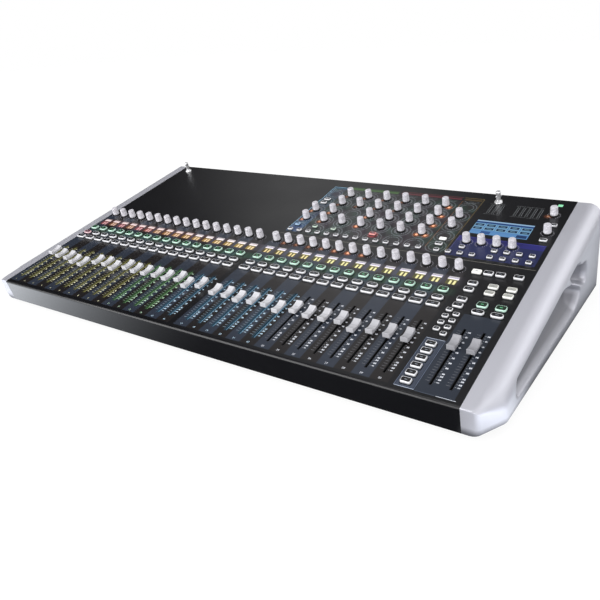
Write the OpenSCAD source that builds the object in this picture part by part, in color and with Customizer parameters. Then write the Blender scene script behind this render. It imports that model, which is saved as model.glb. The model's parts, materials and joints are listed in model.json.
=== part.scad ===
/* [Case] */
// Width of the control panel between the end cheeks
panel_w = 886; // [886:1:900]
// Length of the control panel along its slope
panel_l = 510; // [510:1:530]
// Slope of the control panel above the table, in degrees
tilt = 13; // [11:0.5:15]
// Height of the front face, square to the panel
front_h = 40; // [38:1:50]
// Thickness of the steel sheet
sheet = 2; // [1.6:0.1:2.4]
// Outer radius of the bend between the panel and the front face
bend_r = 4; // [3:0.5:6]
// Height of the rubber feet
foot_h = 8; // [6:0.5:14]

/* [End cheeks] */
// Width of each end cheek
cheek_w = 40; // [40:1:48]
// Radius of the cheek's long upper edge
cheek_top_r = 22; // [10:1:24]
// Width of the cheek's flat front face
cheek_front_w = 20.5; // [16:0.5:26]
// Length of the slanted corner beside it, seen from above
cheek_slant_l = 40.5; // [30:0.5:46]
// Radius of the cheek's lower outer edge
cheek_low_r = 3; // [2:0.5:8]
// Radius of the cheek's rear corner, seen from above
cheek_rear_r = 12; // [6:1:18]
// Radius of the hand groove at its front end
groove_front_r = 14; // [12:1:17]
// Radius of the hand groove at its rear end
groove_rear_r = 43.5; // [38:0.5:48]
// Radius of the finger pocket behind the groove
pocket_r = 27; // [20:1:30]

/* [Channel strips] */
// Distance from one channel strip to the next
strip_pitch = 25.95; // [25.5:0.05:26]
// Middle of the first strip in the left bank, from the panel's left edge
left_bank_u = 14.8; // [13:0.1:16]
// Middle of the first strip in the right bank
right_bank_u = 440.8; // [438:0.1:442]
// Middle of the first of the two main strips
main_bank_u = 839.5; // [838:0.1:842]

/* [Faders] */
// Travel of every fader
fader_travel = 100; // [60:1:100]
// Lowest place of a fader cap's middle, from the panel's front edge
fader_low_v = 30; // [28:1:34]
// Width of a fader cap
cap_w = 12; // [10:0.5:13]
// Length of a fader cap
cap_l = 26; // [22:1:28]
// Width of the slot that the fader's lever runs in
slot_w = 4; // [3.6:0.2:5]

/* [Knobs and keys] */
// Diameter of a knob at its foot
knob_d = 13; // [11:0.5:14]
// Height of a knob above the panel
knob_h = 16.4; // [14:0.2:20]
// Height of the channel keys above the panel
key_h = 4.6; // [4:0.2:6]
// Height of the small keys above the panel
small_key_h = 3.8; // [3:0.2:5]
// Gap between a key and the edge of its hole
key_gap = 0.5; // [0.4:0.05:0.7]

/* [Hidden] */
$fn = 64;

left_strips = 16;
right_strips = 14;
strips = left_strips + right_strips;

// Cap places that the faders are set to, in millimetres up from the lowest place
left_set = [78, 73, 72, 65, 63, 77, 78, 71, 81, 77, 77, 78, 76, 80, 69, 76];
right_set = [68, 68, 64, 67, 68, 61, 69, 65, 66, 68, 58, 64, 64, 64];
main_set = [69, 69];
fader_set = concat(left_set, right_set, main_set);

function two_digits(n) = n < 10 ? str("0", n) : str(n);
fader_names = [for (i = [0 : strips + 1]) i < strips ? str("fader_", two_digits(i + 1)) :
    i == strips ? "fader_main_left" : "fader_main_right"];
screen_knob_names = [for (i = [1 : 4]) str("screen_knob_", i)];

// The case's side view: the panel's frame has u to the right, v up the slope and w square to it
rear_h = front_h + panel_l * tan(tilt);
case_depth = panel_l * cos(tilt) + rear_h * sin(tilt);
front_overhang = bend_r * (cos(tilt) + sin(tilt) - 1);
y_front = -(case_depth + front_overhang) / 2;
z_front = foot_h + front_h * cos(tilt);
floor_rise = sheet / cos(tilt);
function bottom_w(v) = -front_h - v * tan(tilt);

// Places on the panel
strip_u = concat(
    [for (i = [0 : left_strips - 1]) left_bank_u + i * strip_pitch],
    [for (i = [0 : right_strips - 1]) right_bank_u + i * strip_pitch]);
main_u = [main_bank_u, main_bank_u + 26];
fader_u = concat(strip_u, main_u);
slot_end = 6;
select_key = [19, 9];
solo_key = [17.5, 9];
on_key = [15, 11];
select_v = 172;
solo_v = 188.5;
on_v = 208.5;
lamp_bar_size = [17, 5];
lamp_bar_v = 241.6;
level_window_size = [17, 10];
level_window_v = 231.4;
lamp_shift_u = 2;
strip_knob_v = 267.5;

// Keys of the main section: middles in u and v, grouped by size
square_key = [14, 9];
six_key_v = [for (i = [0 : 5]) 18.5 + i * 14.6];
square_key_at = concat(
    [for (v = six_key_v) [811.5, v]],
    [[812, 179], [812, 193.5], [812, 218.7], [812, 234.5]],
    [[842, 217.7], [842, 233.5], [868, 217.7], [868, 233.5]],
    [[806.7, 264], [824, 264.5], [841.5, 265], [867.4, 265.3]]);
mini_key = [9, 7];
mini_key_at = concat(
    [for (i = [0 : 3]) [805, 123 + i * 14.6]],
    [for (i = [0 : 3]) [817.6, 115.6 + i * 14.6]]);
main_on_at = [for (u = main_u) [u + 3.3, 188.5]];
main_solo_at = [for (u = main_u) [u + 3.3, 172]];

// Keys of the upper sections
row_key_step = 19.3;
row_key_u = concat(
    [for (i = [0 : 13]) 442.5 + i * row_key_step],
    [for (i = [0 : 3]) 724.5 + i * row_key_step],
    [for (i = [0 : 3]) 810 + i * row_key_step]);
row_key_v = 307.3;
upper_key_at = concat(
    [for (u = row_key_u) [u, row_key_v]],
    [[446.5, 325.5], [484.5, 325.5], [523, 325.5], [759.5, 325.4]],
    [for (i = [0 : 3]) [810.6 + i * 19, 325.8]]);
wide_key = [12, 7];
wide_key_at = [[721.5, 340.6], [721, 325], [600.5, 327], [449, 412], [449, 426], [869.4, 374]];
phones_key_at = [[872.5, 421.4]];

// Knobs of the upper sections: columns and the rows that each column has
column_u = [for (i = [0 : 7]) 449 + i * 38.5];
row_v = [351.5, 384.8, 418.1, 451.4];
column_rows = [[0, 1], [0, 1, 2, 3], [0, 2, 3], [0, 1, 2, 3], [0, 1, 2, 3], [0, 1, 2, 3],
    [0, 1, 2, 3], [1, 2]];
level_knob_at = [[862.5, 456.5], [868.5, 398.5]];
section_knob_at = concat(
    [for (c = [0 : 7]) for (r = column_rows[c]) [column_u[c], row_v[r]]], level_knob_at);
strip_knob_at = [for (u = strip_u) [u, strip_knob_v]];
screen_knob_at = [for (i = [0 : 3]) [759.5 + i * 24.2, 344]];

// The screen, the level meters and the lamp sockets
screen_at = [798, 395.2];
screen_size = [95.5, 46.5];
meter_size = [3.4, 32];
meter_at = [for (u = [756, 765, 774, 801, 810.5, 820, 829.5, 839]) [u, 457]];
status_lamp_size = [8, 8];
status_lamp_at = [[863.5, 491]];
lamp_socket_at = [[24, 488], [763, 482]];
lamp_socket_h = 21;
lamp_socket_r = 4.1;

// Depths below the panel's top face
board_top = -7;
board_t = 1.6;
key_foot = -5;
shaft_r = 3;
shaft_hole_r = 3.8;
carriage_top = -10.5;
carriage_h = 6;
rod_w = -13.5;
unit_low = -24;
unit_w = 14;
unit_v = [10, 150];
cap_low = 3.4;

// Boards and supply inside, as corners and sizes on the case's floor
control_board_v = 160;
control_board_size = [panel_w - 12, 336, board_t];
pillar_u = [60, 240, 423, 590, 700, 792];
pillar_v = [252, 488];
main_board_at = [-60, 20];
main_board_size = [360, 150, board_t];
standoff_h = 6;
sink_at = [140, 40];
sink_w = 60;
supply_at = [-390, 40];
supply_size = [210, 110, 44];

// Angle of the cheek's slanted front corner, seen from above
slant = atan2(cheek_slant_l, cheek_w - cheek_front_w);
// Hand groove of the cheek: middles of its front and rear ends, and the finger pocket's middle
groove_front_at = [cheek_w + 2, 88, -29];
groove_rear_at = [cheek_w + 18, 348, -59];
pocket_at = [cheek_w + 4, 402, -66];

// Rear connectors: a grid of round chassis sockets
socket_pitch = 33;
socket_u = [for (i = [0 : 15]) 190 + i * socket_pitch];
input_w = [-36, -74];
output_w = -112;
socket_plate = [26, 31];
socket_barrel_r = 11.8;
socket_bore_r = 8.2;
inlet_at = [90, -112];
inlet_size = [27, 20];
inlet_depth = 16;
blade_l = 10;
vent_u = concat([for (i = [0 : 11]) 40 + i * 9], [for (i = [0 : 17]) 710 + i * 9]);

// Fasteners
front_screw_u = [for (i = [0 : 6]) 10.5 + i * 144.2];
rear_screw_at = [for (u = [12, 165, 443, 697, 874]) for (w = [-12, -146]) [u, w]];
screw_head_r = 4;
screw_head_h = 2.4;
screw_shank_r = 1.9;
screw_hole_r = 2.2;
foot_x = [-400, 0, 400];
foot_y = [y_front + 60, y_front + case_depth - 60];

module on_panel() translate([-panel_w / 2, y_front, z_front]) rotate([tilt, 0, 0]) children();
module across(u, wide) translate([u, 0, 0]) rotate([90, 0, 90]) linear_extrude(wide) children();
module on_rear() translate([0, panel_l, 0]) rotate([90, 0, 0]) children();
module places(at) for (p = at) translate([p[0], p[1], 0]) children();
module from_to(p, q) {
    d = q - p;
    translate(p) rotate([0, acos(d[2] / norm(d)), atan2(d[1], d[0])]) children();
}

// Points of an arc about c, from angle a to angle b
function arc(c, r, a, b, steps = 10) =
    [for (i = [0 : steps]) c + r * [cos(a + (b - a) * i / steps), sin(a + (b - a) * i / steps)]];
// Outline of a key with round corners, about its middle
function key_outline(size, r) = let (x = size[0] / 2 - r, y = size[1] / 2 - r) concat(
    arc([x, y], r, 0, 90, 3), arc([-x, y], r, 90, 180, 3),
    arc([-x, -y], r, 180, 270, 3), arc([x, -y], r, 270, 360, 3));

// Openings in the control panel, drawn in its own plane
module hole(size) square(size + 2 * [key_gap, key_gap], center = true);
module panel_openings() {
    for (u = fader_u) translate([u - slot_w / 2, fader_low_v - slot_end])
        square([slot_w, fader_travel + 2 * slot_end]);
    for (u = strip_u) {
        translate([u, select_v]) hole(select_key);
        translate([u, solo_v]) hole(solo_key);
        translate([u, on_v]) hole(on_key);
        translate([u + lamp_shift_u, lamp_bar_v]) square(lamp_bar_size, center = true);
        translate([u + lamp_shift_u, level_window_v]) square(level_window_size, center = true);
    }
    places(concat(strip_knob_at, section_knob_at, screen_knob_at)) circle(shaft_hole_r);
    places(square_key_at) hole(square_key);
    places(mini_key_at) hole(mini_key);
    places(main_on_at) hole(on_key);
    places(main_solo_at) hole(solo_key);
    places(concat(upper_key_at, phones_key_at)) hole(mini_key);
    places(wide_key_at) hole(wide_key);
    places(meter_at) square(meter_size, center = true);
    places(status_lamp_at) square(status_lamp_size, center = true);
    translate(screen_at) square(screen_size, center = true);
    places(lamp_socket_at) circle(lamp_socket_r);
}

// Steel sheet bent down along its front edge into the front face
module control_panel() color("#1b1c20") on_panel() {
    difference() {
        translate([0, bend_r, -sheet]) cube([panel_w, panel_l - bend_r, sheet]);
        translate([0, 0, -sheet - 1]) linear_extrude(sheet + 2) panel_openings();
    }
    across(0, panel_w) polygon(concat(
        arc([bend_r, -bend_r], bend_r, 90, 180), [[0, -front_h], [sheet, -front_h]],
        arc([bend_r, -bend_r], bend_r - sheet, 180, 90)));
}

// Floor of the case with its two folded side walls
module base_tray() color("#24252a") on_panel() difference() {
    union() {
        across(0, panel_w) polygon([
            [sheet, bottom_w(sheet)], [panel_l - sheet, bottom_w(panel_l - sheet)],
            [panel_l - sheet, bottom_w(panel_l - sheet) + floor_rise],
            [sheet, bottom_w(sheet) + floor_rise]]);
        for (u = [0, panel_w - sheet]) across(u, sheet) polygon([
            [bend_r, bottom_w(bend_r) + floor_rise / 2],
            [panel_l - sheet, bottom_w(panel_l - sheet) + floor_rise / 2],
            [panel_l - sheet, -sheet], [bend_r, -sheet]]);
    }
    front_screws() cylinder(r = screw_hole_r, h = 4 * sheet, center = true);
}

// Connector plate that closes the back
module rear_panel() color("#1d1e22") on_panel() difference() {
    across(0, panel_w) polygon([
        [panel_l - sheet, -sheet], [panel_l, -sheet],
        [panel_l, bottom_w(panel_l)], [panel_l - sheet, bottom_w(panel_l - sheet)]]);
    on_rear() translate([0, 0, -sheet]) linear_extrude(3 * sheet) {
        for (u = socket_u) for (w = concat(input_w, [output_w]))
            translate([u, w]) circle(socket_barrel_r);
        translate(inlet_at) square(inlet_size, center = true);
        for (u = vent_u) translate([u, -70]) square([3, 52]);
        places(rear_screw_at) circle(screw_hole_r);
    }
}

// Moulded end cheek: four profiles crossed, with a hand groove and a finger pocket cut in its side
module cheek_body() intersection() {
    across(0, cheek_w) polygon([[1.5, 0], [panel_l - 1.5, 0], [panel_l, -1.5],
        [panel_l, bottom_w(panel_l)], [2, bottom_w(2)], [0, 2 - front_h], [0, -1.5]]);
    translate([0, panel_l + 1, 0]) rotate([90, 0, 0]) linear_extrude(panel_l + 2) polygon(concat(
        [[0, 0], [0, -rear_h - 1], [cheek_w, -rear_h - 1]],
        arc([cheek_w, 0] - cheek_top_r * [1, 1], cheek_top_r, 0, 90, 12)));
    translate([0, 0, -rear_h - 1]) linear_extrude(rear_h + 2) polygon(concat(
        [[0, 0]],
        arc([cheek_front_w - 8 * tan(slant / 2), 8], 8, -90, slant - 90, 6),
        arc([cheek_w - 20, cheek_slant_l + 20 * tan(45 - slant / 2)], 20, slant - 90, 0, 4),
        arc([cheek_w, panel_l] - cheek_rear_r * [1, 1], cheek_rear_r, 0, 90),
        [[0, panel_l]]));
    translate([0, -1, bottom_w(-1)]) rotate([-tilt, 0, 0]) translate([0, case_depth + 40, 0])
        rotate([90, 0, 0]) linear_extrude(case_depth + 80) polygon(concat(
            [[0, 0]], arc([cheek_w - cheek_low_r, cheek_low_r], cheek_low_r, 270, 360, 6),
            [[cheek_w, rear_h + 60], [0, rear_h + 60]]));
}
module hand_groove() {
    reach = norm(groove_rear_at - groove_front_at);
    from_to(groove_front_at, groove_rear_at) rotate_extrude() polygon(concat(
        arc([0, 0], groove_front_r, -90, 0, 6), arc([0, reach], groove_rear_r, 0, 90, 8)));
}
module cheek() difference() {
    cheek_body();
    hand_groove();
    translate(pocket_at) sphere(pocket_r);
}
module right_cheek() color("#b9bac4") on_panel() translate([panel_w, 0, 0]) cheek();
module left_cheek() color("#b9bac4") on_panel() mirror([1, 0, 0]) cheek();

module rubber_feet() color("#141414") for (x = foot_x) for (y = foot_y)
    translate([x, y, 0]) cylinder(r1 = 12, r2 = 14, h = foot_h);

// Pan-head screws: along the front edge from below, and round the rear panel
module front_screws() for (u = front_screw_u)
    translate([u, 9, bottom_w(9)]) rotate([-tilt, 0, 0]) children();
module pan_screw() {
    cylinder(r = screw_shank_r, h = 7);
    rotate_extrude() polygon(concat([[0, 0], [screw_head_r, 0]],
        arc([screw_head_r - 1.6, -0.8], 1.6, 0, -90, 4), [[0, -screw_head_h]]));
}
module case_screws() color("#2a2a2c") on_panel() {
    front_screws() pan_screw();
    on_rear() places(rear_screw_at) pan_screw();
}

// Screen glass in its window, with the frame behind it standing on the board
module display_module() color("#3f7fc4") on_panel() translate([screen_at[0], screen_at[1], 0]) {
    translate([0, 0, -1.4]) cube([screen_size[0] - 0.4, screen_size[1] - 0.4, 2], center = true);
    translate([0, 0, (board_top - sheet) / 2 - 0.2])
        cube([screen_size[0] + 8, screen_size[1] + 6, -board_top - sheet - 0.4], center = true);
}

// Plated sockets for gooseneck lamps
module lamp_sockets() color("#c9c9cc") on_panel() places(lamp_socket_at) rotate_extrude() polygon([
    [0, board_top], [lamp_socket_r - 0.4, board_top], [lamp_socket_r - 0.4, 0], [7, 0], [7, 2],
    [lamp_socket_r, 2.4], [lamp_socket_r, lamp_socket_h - 0.6], [lamp_socket_r - 0.6, lamp_socket_h],
    [1.5, lamp_socket_h], [1.5, lamp_socket_h - 6], [0, lamp_socket_h - 6]]);

// Fader bodies: an open steel channel with two guide rods and the motor under its rear end
module fader_unit() {
    unit_l = unit_v[1] - unit_v[0];
    difference() {
        translate([-unit_w / 2, unit_v[0], unit_low]) cube([unit_w, unit_l, -sheet - unit_low]);
        translate([-unit_w / 2 + 1, unit_v[0] + 1, unit_low + 1])
            cube([unit_w - 2, unit_l - 2, -unit_low]);
    }
    for (x = [-3.2, 3.2]) translate([x, unit_v[0] + 1, rod_w]) rotate([-90, 0, 0])
        cylinder(r = 1.5, h = unit_l - 2);
    translate([0, unit_v[1] - 9, unit_low - 16]) cylinder(r = 6.5, h = 16);
}
module fader_units() color("#9a9c9f") on_panel() for (u = fader_u) translate([u, 0, 0]) fader_unit();

// Lit windows that stand on the board and end flush with the panel
module lens(size) translate([0, 0, board_top / 2])
    cube([size[0] - 0.2, size[1] - 0.2, -board_top], center = true);
module indicator_lenses() color("#d8c85a") on_panel() {
    for (u = strip_u) {
        translate([u + lamp_shift_u, lamp_bar_v, 0]) lens(lamp_bar_size);
        translate([u + lamp_shift_u, level_window_v, 0]) lens(level_window_size);
    }
    places(meter_at) lens(meter_size);
    places(status_lamp_at) lens(status_lamp_size);
}

// Board behind the keys and knobs, hung from the panel on pillars
module control_board() color("#1f5a3a") on_panel() {
    translate([(panel_w - control_board_size[0]) / 2, control_board_v, board_top - board_t])
        cube(control_board_size);
    for (u = pillar_u) for (v = pillar_v) translate([u, v, board_top])
        cylinder(r = 2.5, h = -board_top - sheet);
}
// Signal board on stand-offs above the floor, with its heat sink
module on_floor(at) translate([at[0], at[1], foot_h + sheet]) children();
module main_board() color("#1f5a3a") on_floor(main_board_at) {
    translate([0, 0, standoff_h]) cube(main_board_size);
    for (x = [8, main_board_size[0] - 8]) for (y = [8, main_board_size[1] - 8])
        translate([x, y, 0]) cylinder(r = 3, h = standoff_h);
    translate([sink_at[0], sink_at[1], standoff_h + board_t]) {
        cube([sink_w, sink_w, 4]);
        for (i = [0 : 7]) translate([i * 8.2, 0, 4]) cube([2.6, sink_w, 14]);
    }
}
module power_supply() color("#8d8f93") on_floor(supply_at) difference() {
    cube(supply_size);
    for (i = [0 : 11]) translate([24 + i * 14, 20, supply_size[2] - 2]) cube([6, 70, 4]);
}

// Mains inlet: a moulded shell with a recess for the plug and three blades
module mains_inlet() color("#161616") on_panel() on_rear() translate([inlet_at[0], inlet_at[1], 0]) {
    difference() {
        union() {
            translate([-18, -14, -2]) cube([36, 28, 2]);
            translate([-(inlet_size[0] - 0.4) / 2, -(inlet_size[1] - 0.4) / 2, 0])
                cube([inlet_size[0] - 0.4, inlet_size[1] - 0.4, 22]);
        }
        translate([0, 0, -3]) linear_extrude(inlet_depth + 3)
            polygon([[-12, -8], [12, -8], [12, 4], [8, 8], [-8, 8], [-12, 4]]);
    }
    for (p = [[-7, -2], [0, 2.5], [7, -2]])
        translate([p[0] - 1, p[1] - 2, inlet_depth + 1 - blade_l]) cube([2, 4, blade_l]);
}

// Round chassis socket: a square plate outside, a barrel through the rear panel
module socket_shell() {
    translate([0, 0, -2]) linear_extrude(2) polygon(key_outline(socket_plate, 3));
    cylinder(r = socket_barrel_r - 0.2, h = 18);
}
module input_sockets() color("#202124") on_panel() on_rear() for (u = socket_u) for (w = input_w)
    translate([u, w, 0]) difference() {
        socket_shell();
        difference() {
            translate([0, 0, -3]) cylinder(r = 9.4, h = 3);
            translate([0, 0, -4]) cylinder(r = 7.6, h = 5);
        }
        for (a = [-50, 90, 230]) rotate(a) translate([4.2, 0, -3]) cylinder(r = 1.3, h = 11);
    }
module output_sockets() color("#202124") on_panel() on_rear() for (u = socket_u)
    translate([u, output_w, 0]) difference() {
        socket_shell();
        translate([0, 0, -3]) cylinder(r = socket_bore_r, h = 16);
    }

// Soft-touch knob on its shaft: collar, tapered skirt and a rounded top
module knob(foot) {
    r = knob_d / 2;
    edge = 1.6;
    rotate_extrude() polygon(concat(
        [[0, foot], [shaft_r, foot], [shaft_r, 0.7], [r + 0.8, 0.7], [r + 0.8, 2], [r, 2.4]],
        arc([r - 0.5 - edge, knob_h - edge], edge, 0, 90, 5), [[0, knob_h]]));
}
module channel_knobs() color("#d4d3da") on_panel() places(strip_knob_at) knob(board_top);
module section_knobs() color("#d4d3da") on_panel() places(section_knob_at) knob(board_top);
module screen_knob(i) color("#d4d3da") on_panel() places([screen_knob_at[i]]) knob(board_top + 0.6);

// Key: a cap with a drawn-in upper edge, on a narrower foot above its switch
module key(size, r, high) {
    draft = 0.7;
    translate([0, 0, -1.6]) linear_extrude(high + 1.6 - draft) polygon(key_outline(size, r));
    translate([0, 0, high - draft]) linear_extrude(draft)
        polygon(key_outline(size - 2 * [draft, draft], r - draft));
    translate([-2, -2, key_foot]) cube([4, 4, -key_foot]);
}
module strip_keys(v) on_panel() for (u = strip_u) translate([u, v, 0]) children();
module on_keys() color("#cfe3cf") strip_keys(on_v) key(on_key, 3, key_h);
module solo_keys() color("#e6e6ec") strip_keys(solo_v) key(solo_key, 4.2, key_h);
module select_keys() color("#e6e6ec") strip_keys(select_v) key(select_key, 1.8, key_h);
module section_keys() color("#e6e6ec") on_panel() {
    places(concat(upper_key_at, phones_key_at)) key(mini_key, 1.6, small_key_h);
    places(wide_key_at) key(wide_key, 1.6, small_key_h);
}
module master_keys() color("#e6e6ec") on_panel() {
    places(square_key_at) key(square_key, 1.8, key_h);
    places(mini_key_at) key(mini_key, 1.6, small_key_h);
    places(main_on_at) key(on_key, 3, key_h);
    places(main_solo_at) key(solo_key, 4.2, key_h);
}

// Fader: a saddle-shaped cap on a flat lever, and the carriage that runs on the rods
module fader_cap() across(-cap_w / 2, cap_w) polygon(concat(
    [[-cap_l / 2, cap_low], [cap_l / 2, cap_low]],
    [for (s = [1 : -0.125 : -1]) [s * (cap_l / 2 - 0.8), 7.6 + 3.2 * s * s]]));
module fader(i) color("#e2e2e6") on_panel() translate([fader_u[i], fader_low_v + fader_set[i], 0]) {
    fader_cap();
    translate([-1, -3, carriage_top]) cube([2, 6, cap_low - carriage_top]);
    difference() {
        translate([-5.2, -8, carriage_top - carriage_h]) cube([10.4, 16, carriage_h]);
        for (x = [-3.2, 3.2]) translate([x, 0, rod_w]) rotate([90, 0, 0])
            cylinder(r = 2.1, h = 20, center = true);
    }
}

control_panel();
base_tray();
rear_panel();
left_cheek();
right_cheek();
rubber_feet();
case_screws();
display_module();
lamp_sockets();
fader_units();
indicator_lenses();
control_board();
main_board();
power_supply();
mains_inlet();
input_sockets();
output_sockets();
channel_knobs();
section_knobs();
on_keys();
solo_keys();
select_keys();
section_keys();
master_keys();
for (i = [0 : 3]) screen_knob(i);
for (i = [0 : strips + 1]) fader(i);
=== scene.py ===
import json
from math import asin, atan2, cos, pi, radians, sin, sqrt, tan

import bmesh
import bpy
import numpy as np
from mathutils import Matrix, Vector


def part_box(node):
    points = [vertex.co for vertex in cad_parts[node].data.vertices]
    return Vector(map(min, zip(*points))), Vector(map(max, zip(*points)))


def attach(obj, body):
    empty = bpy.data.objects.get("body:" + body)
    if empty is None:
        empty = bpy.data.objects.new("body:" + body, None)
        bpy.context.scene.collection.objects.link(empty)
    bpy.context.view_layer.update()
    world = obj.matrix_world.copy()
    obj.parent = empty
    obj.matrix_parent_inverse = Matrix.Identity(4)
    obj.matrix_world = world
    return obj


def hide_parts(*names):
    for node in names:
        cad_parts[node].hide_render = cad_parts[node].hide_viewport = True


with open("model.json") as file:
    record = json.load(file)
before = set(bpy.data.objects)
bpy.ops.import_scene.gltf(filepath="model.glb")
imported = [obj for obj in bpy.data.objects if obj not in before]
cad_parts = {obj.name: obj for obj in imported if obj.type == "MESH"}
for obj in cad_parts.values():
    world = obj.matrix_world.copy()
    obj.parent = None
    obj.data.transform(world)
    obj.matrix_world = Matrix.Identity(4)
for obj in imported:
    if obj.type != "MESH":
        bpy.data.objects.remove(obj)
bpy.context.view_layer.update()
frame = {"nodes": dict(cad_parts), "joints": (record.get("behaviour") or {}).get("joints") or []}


# Base tray and the pieces inside the case
# The tray is folded steel sheet with a baked black coat. The fader units, the boards and the power supply
# are bolted inside it and only show through the slots and vents, so they keep plain maker's finishes.
def colour(code, strength=1.0):
    """Linear colour, with alpha, from a six-digit sRGB code."""
    parts = [int(code[i:i + 2], 16) / 255 for i in (0, 2, 4)]
    linear = [p / 12.92 if p <= 0.04045 else ((p + 0.055) / 1.055) ** 2.4 for p in parts]
    return [strength * p for p in linear] + [1.0]


def operator(operation, reflected=False):
    """A method for an arithmetic sign, which adds a Math node; reflected puts the other value first."""
    def method(self, other):
        values = (other, self) if reflected else (self, other)
        return self.math(operation, *values)
    return method


class Signal:
    """A socket in a finish's node tree; arithmetic on it adds Math nodes."""

    __add__ = __radd__ = operator("ADD")
    __sub__ = operator("SUBTRACT")
    __rsub__ = operator("SUBTRACT", reflected=True)
    __mul__ = __rmul__ = operator("MULTIPLY")
    __truediv__ = operator("DIVIDE")
    __mod__ = operator("FLOORED_MODULO")
    __gt__ = operator("GREATER_THAN")
    __lt__ = operator("LESS_THAN")

    def __init__(self, finish, socket):
        self.finish = finish
        self.socket = socket

    def math(self, operation, *values):
        return self.finish.node("Math", {"operation": operation}, *values)

    def __abs__(self):
        return self.math("ABSOLUTE", self)

    def length(self, other):
        """Distance from the middle, with this and the other value as the two ways across."""
        return self.math("SQRT", self * self + other * other)

    def between(self, low, high):
        return (self > low) * (self < high)

    def fade(self, start, end):
        """From 0 at start to 1 at end, and level beyond them."""
        return self.finish.node("MapRange", {}, Value=self, **{"From Min": start, "From Max": end})


class Nodes:
    """A shader's node tree, written as expressions."""

    def __init__(self, tree):
        self.tree = tree

    def feed(self, socket, value):
        if isinstance(value, Signal):
            self.tree.links.new(value.socket, socket)
        else:
            socket.default_value = value

    def node(self, kind, settings, *values, out=0, **named):
        made = self.tree.nodes.new("ShaderNode" + kind)
        for key, value in settings.items():
            setattr(made, key, value)
        for socket, value in zip(made.inputs, values):
            self.feed(socket, value)
        sockets = {s.identifier: s for s in made.inputs}
        for key, value in named.items():
            self.feed(sockets[key], value)
        outputs = {s.identifier: s for s in made.outputs}
        return Signal(self, outputs[out] if isinstance(out, str) else made.outputs[out])

    def path(self, *kinds):
        return [self.node("LightPath", {}, out="Is %s Ray" % kind) for kind in kinds]


class Finish(Nodes):
    """A material with one main shader."""

    def __init__(self, name):
        self.material = bpy.data.materials.new(name)
        self.material.use_nodes = True
        super().__init__(self.material.node_tree)
        self.shader = self.tree.nodes["Principled BSDF"]

    def place(self):
        return self.node("TexCoord", {}, out="Object")

    def noise(self, scale, detail=3.0):
        return self.node("TexNoise", {}, Vector=self.place(), Scale=scale, Detail=detail)

    def mix(self, mask, first, second):
        return self.node("Mix", {"data_type": "RGBA"}, out="Result_Color",
                         Factor_Float=mask, A_Color=first, B_Color=second)

    def over(self, under, *layers):
        """A colour with others laid over it, each through its own mask."""
        for mask, code in layers:
            under = self.mix(mask, under, colour(code))
        return under

    def bump(self, height, strength, distance):
        return self.node("Bump", {}, Strength=strength, Distance=distance, Height=height)

    def surface(self, **sockets):
        for key, value in sockets.items():
            self.feed(self.shader.inputs[key.replace("_", " ")], value)
        return self


def coat(name, code, roughness, grain=1500.0, depth=0.00004, **sockets):
    """A coat of paint or a moulded skin: fine grain in the surface and slightly uneven gloss."""
    made = Finish(name)
    cloud = made.noise(14.0, 5.0)
    made.surface(Base_Color=made.mix(cloud, colour(code, 0.86), colour(code, 1.14)),
                 Roughness=roughness - 0.06 + 0.12 * cloud,
                 Normal=made.bump(made.noise(grain), 0.25, depth), **sockets)
    return made


def dress(node, finish):
    slots = frame["nodes"][node].data.materials
    slots.clear()
    slots.append(finish.material)


black_coat = coat("black_powder_coat", "17181b", 0.46)
board_green = coat("board_solder_mask", "1c4a33", 0.42)
dress("base_tray", black_coat)
dress("control_board", board_green)
dress("main_board", board_green)
dress("power_supply", coat("supply_sheet", "9a9ca0", 0.38, Metallic=1.0))
dress("fader_units", coat("zinc_plate", "8b8d90", 0.36, Metallic=1.0))
dress("rubber_feet", coat("foot_rubber", "161617", 0.82, grain=900.0, depth=0.0001))

# Frame of the sloping panel
# Every control sits on the panel, so sizes below are in millimetres in its own frame: u to the right from
# the front left corner, v up the slope and w square to the sheet.
slide_axis = Vector(next(j["axis"] for j in frame["joints"] if j["name"].startswith("fader")))
tilt = asin(slide_axis.z)
panel_low, panel_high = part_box("control_panel")
sheet = 2.0
panel_l = 510.0
panel_w = (panel_high.x - panel_low.x) * 1000
case_h = 40.0
corner = Vector((panel_low.x,
                 panel_high.y - (panel_l * cos(tilt) + sheet * sin(tilt)) / 1000,
                 panel_high.z - panel_l * sin(tilt) / 1000))
millimetre = Matrix.Scale(0.001, 4)
on_panel = Matrix.Translation(corner) @ Matrix.Rotation(tilt, 4, "X") @ millimetre
on_rear = on_panel @ Matrix.Translation((0, panel_l, 0)) @ Matrix.Rotation(-pi / 2, 4, "X")


def solids(node, place=on_panel):
    """Boxes of the separate solids in a CAD node, in millimetres in a frame, from left to right."""
    bm = bmesh.new()
    bm.from_mesh(frame["nodes"][node].data)
    bmesh.ops.remove_doubles(bm, verts=bm.verts, dist=1e-5)
    bm.transform(place.inverted())
    boxes = []
    waiting = set(bm.verts)
    while waiting:
        found = [waiting.pop()]
        island = []
        while found:
            vertex = found.pop()
            island.append(vertex.co.copy())
            near = {e.other_vert(vertex) for e in vertex.link_edges} & waiting
            waiting -= near
            found.extend(near)
        points = np.array(island)
        boxes.append((Vector(points.min(0)), Vector(points.max(0))))
    bm.free()
    return sorted(boxes, key=lambda b: (round(b[0].x, 1), b[0].y))


def middle(box):
    return (box[0] + box[1]) / 2


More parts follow.
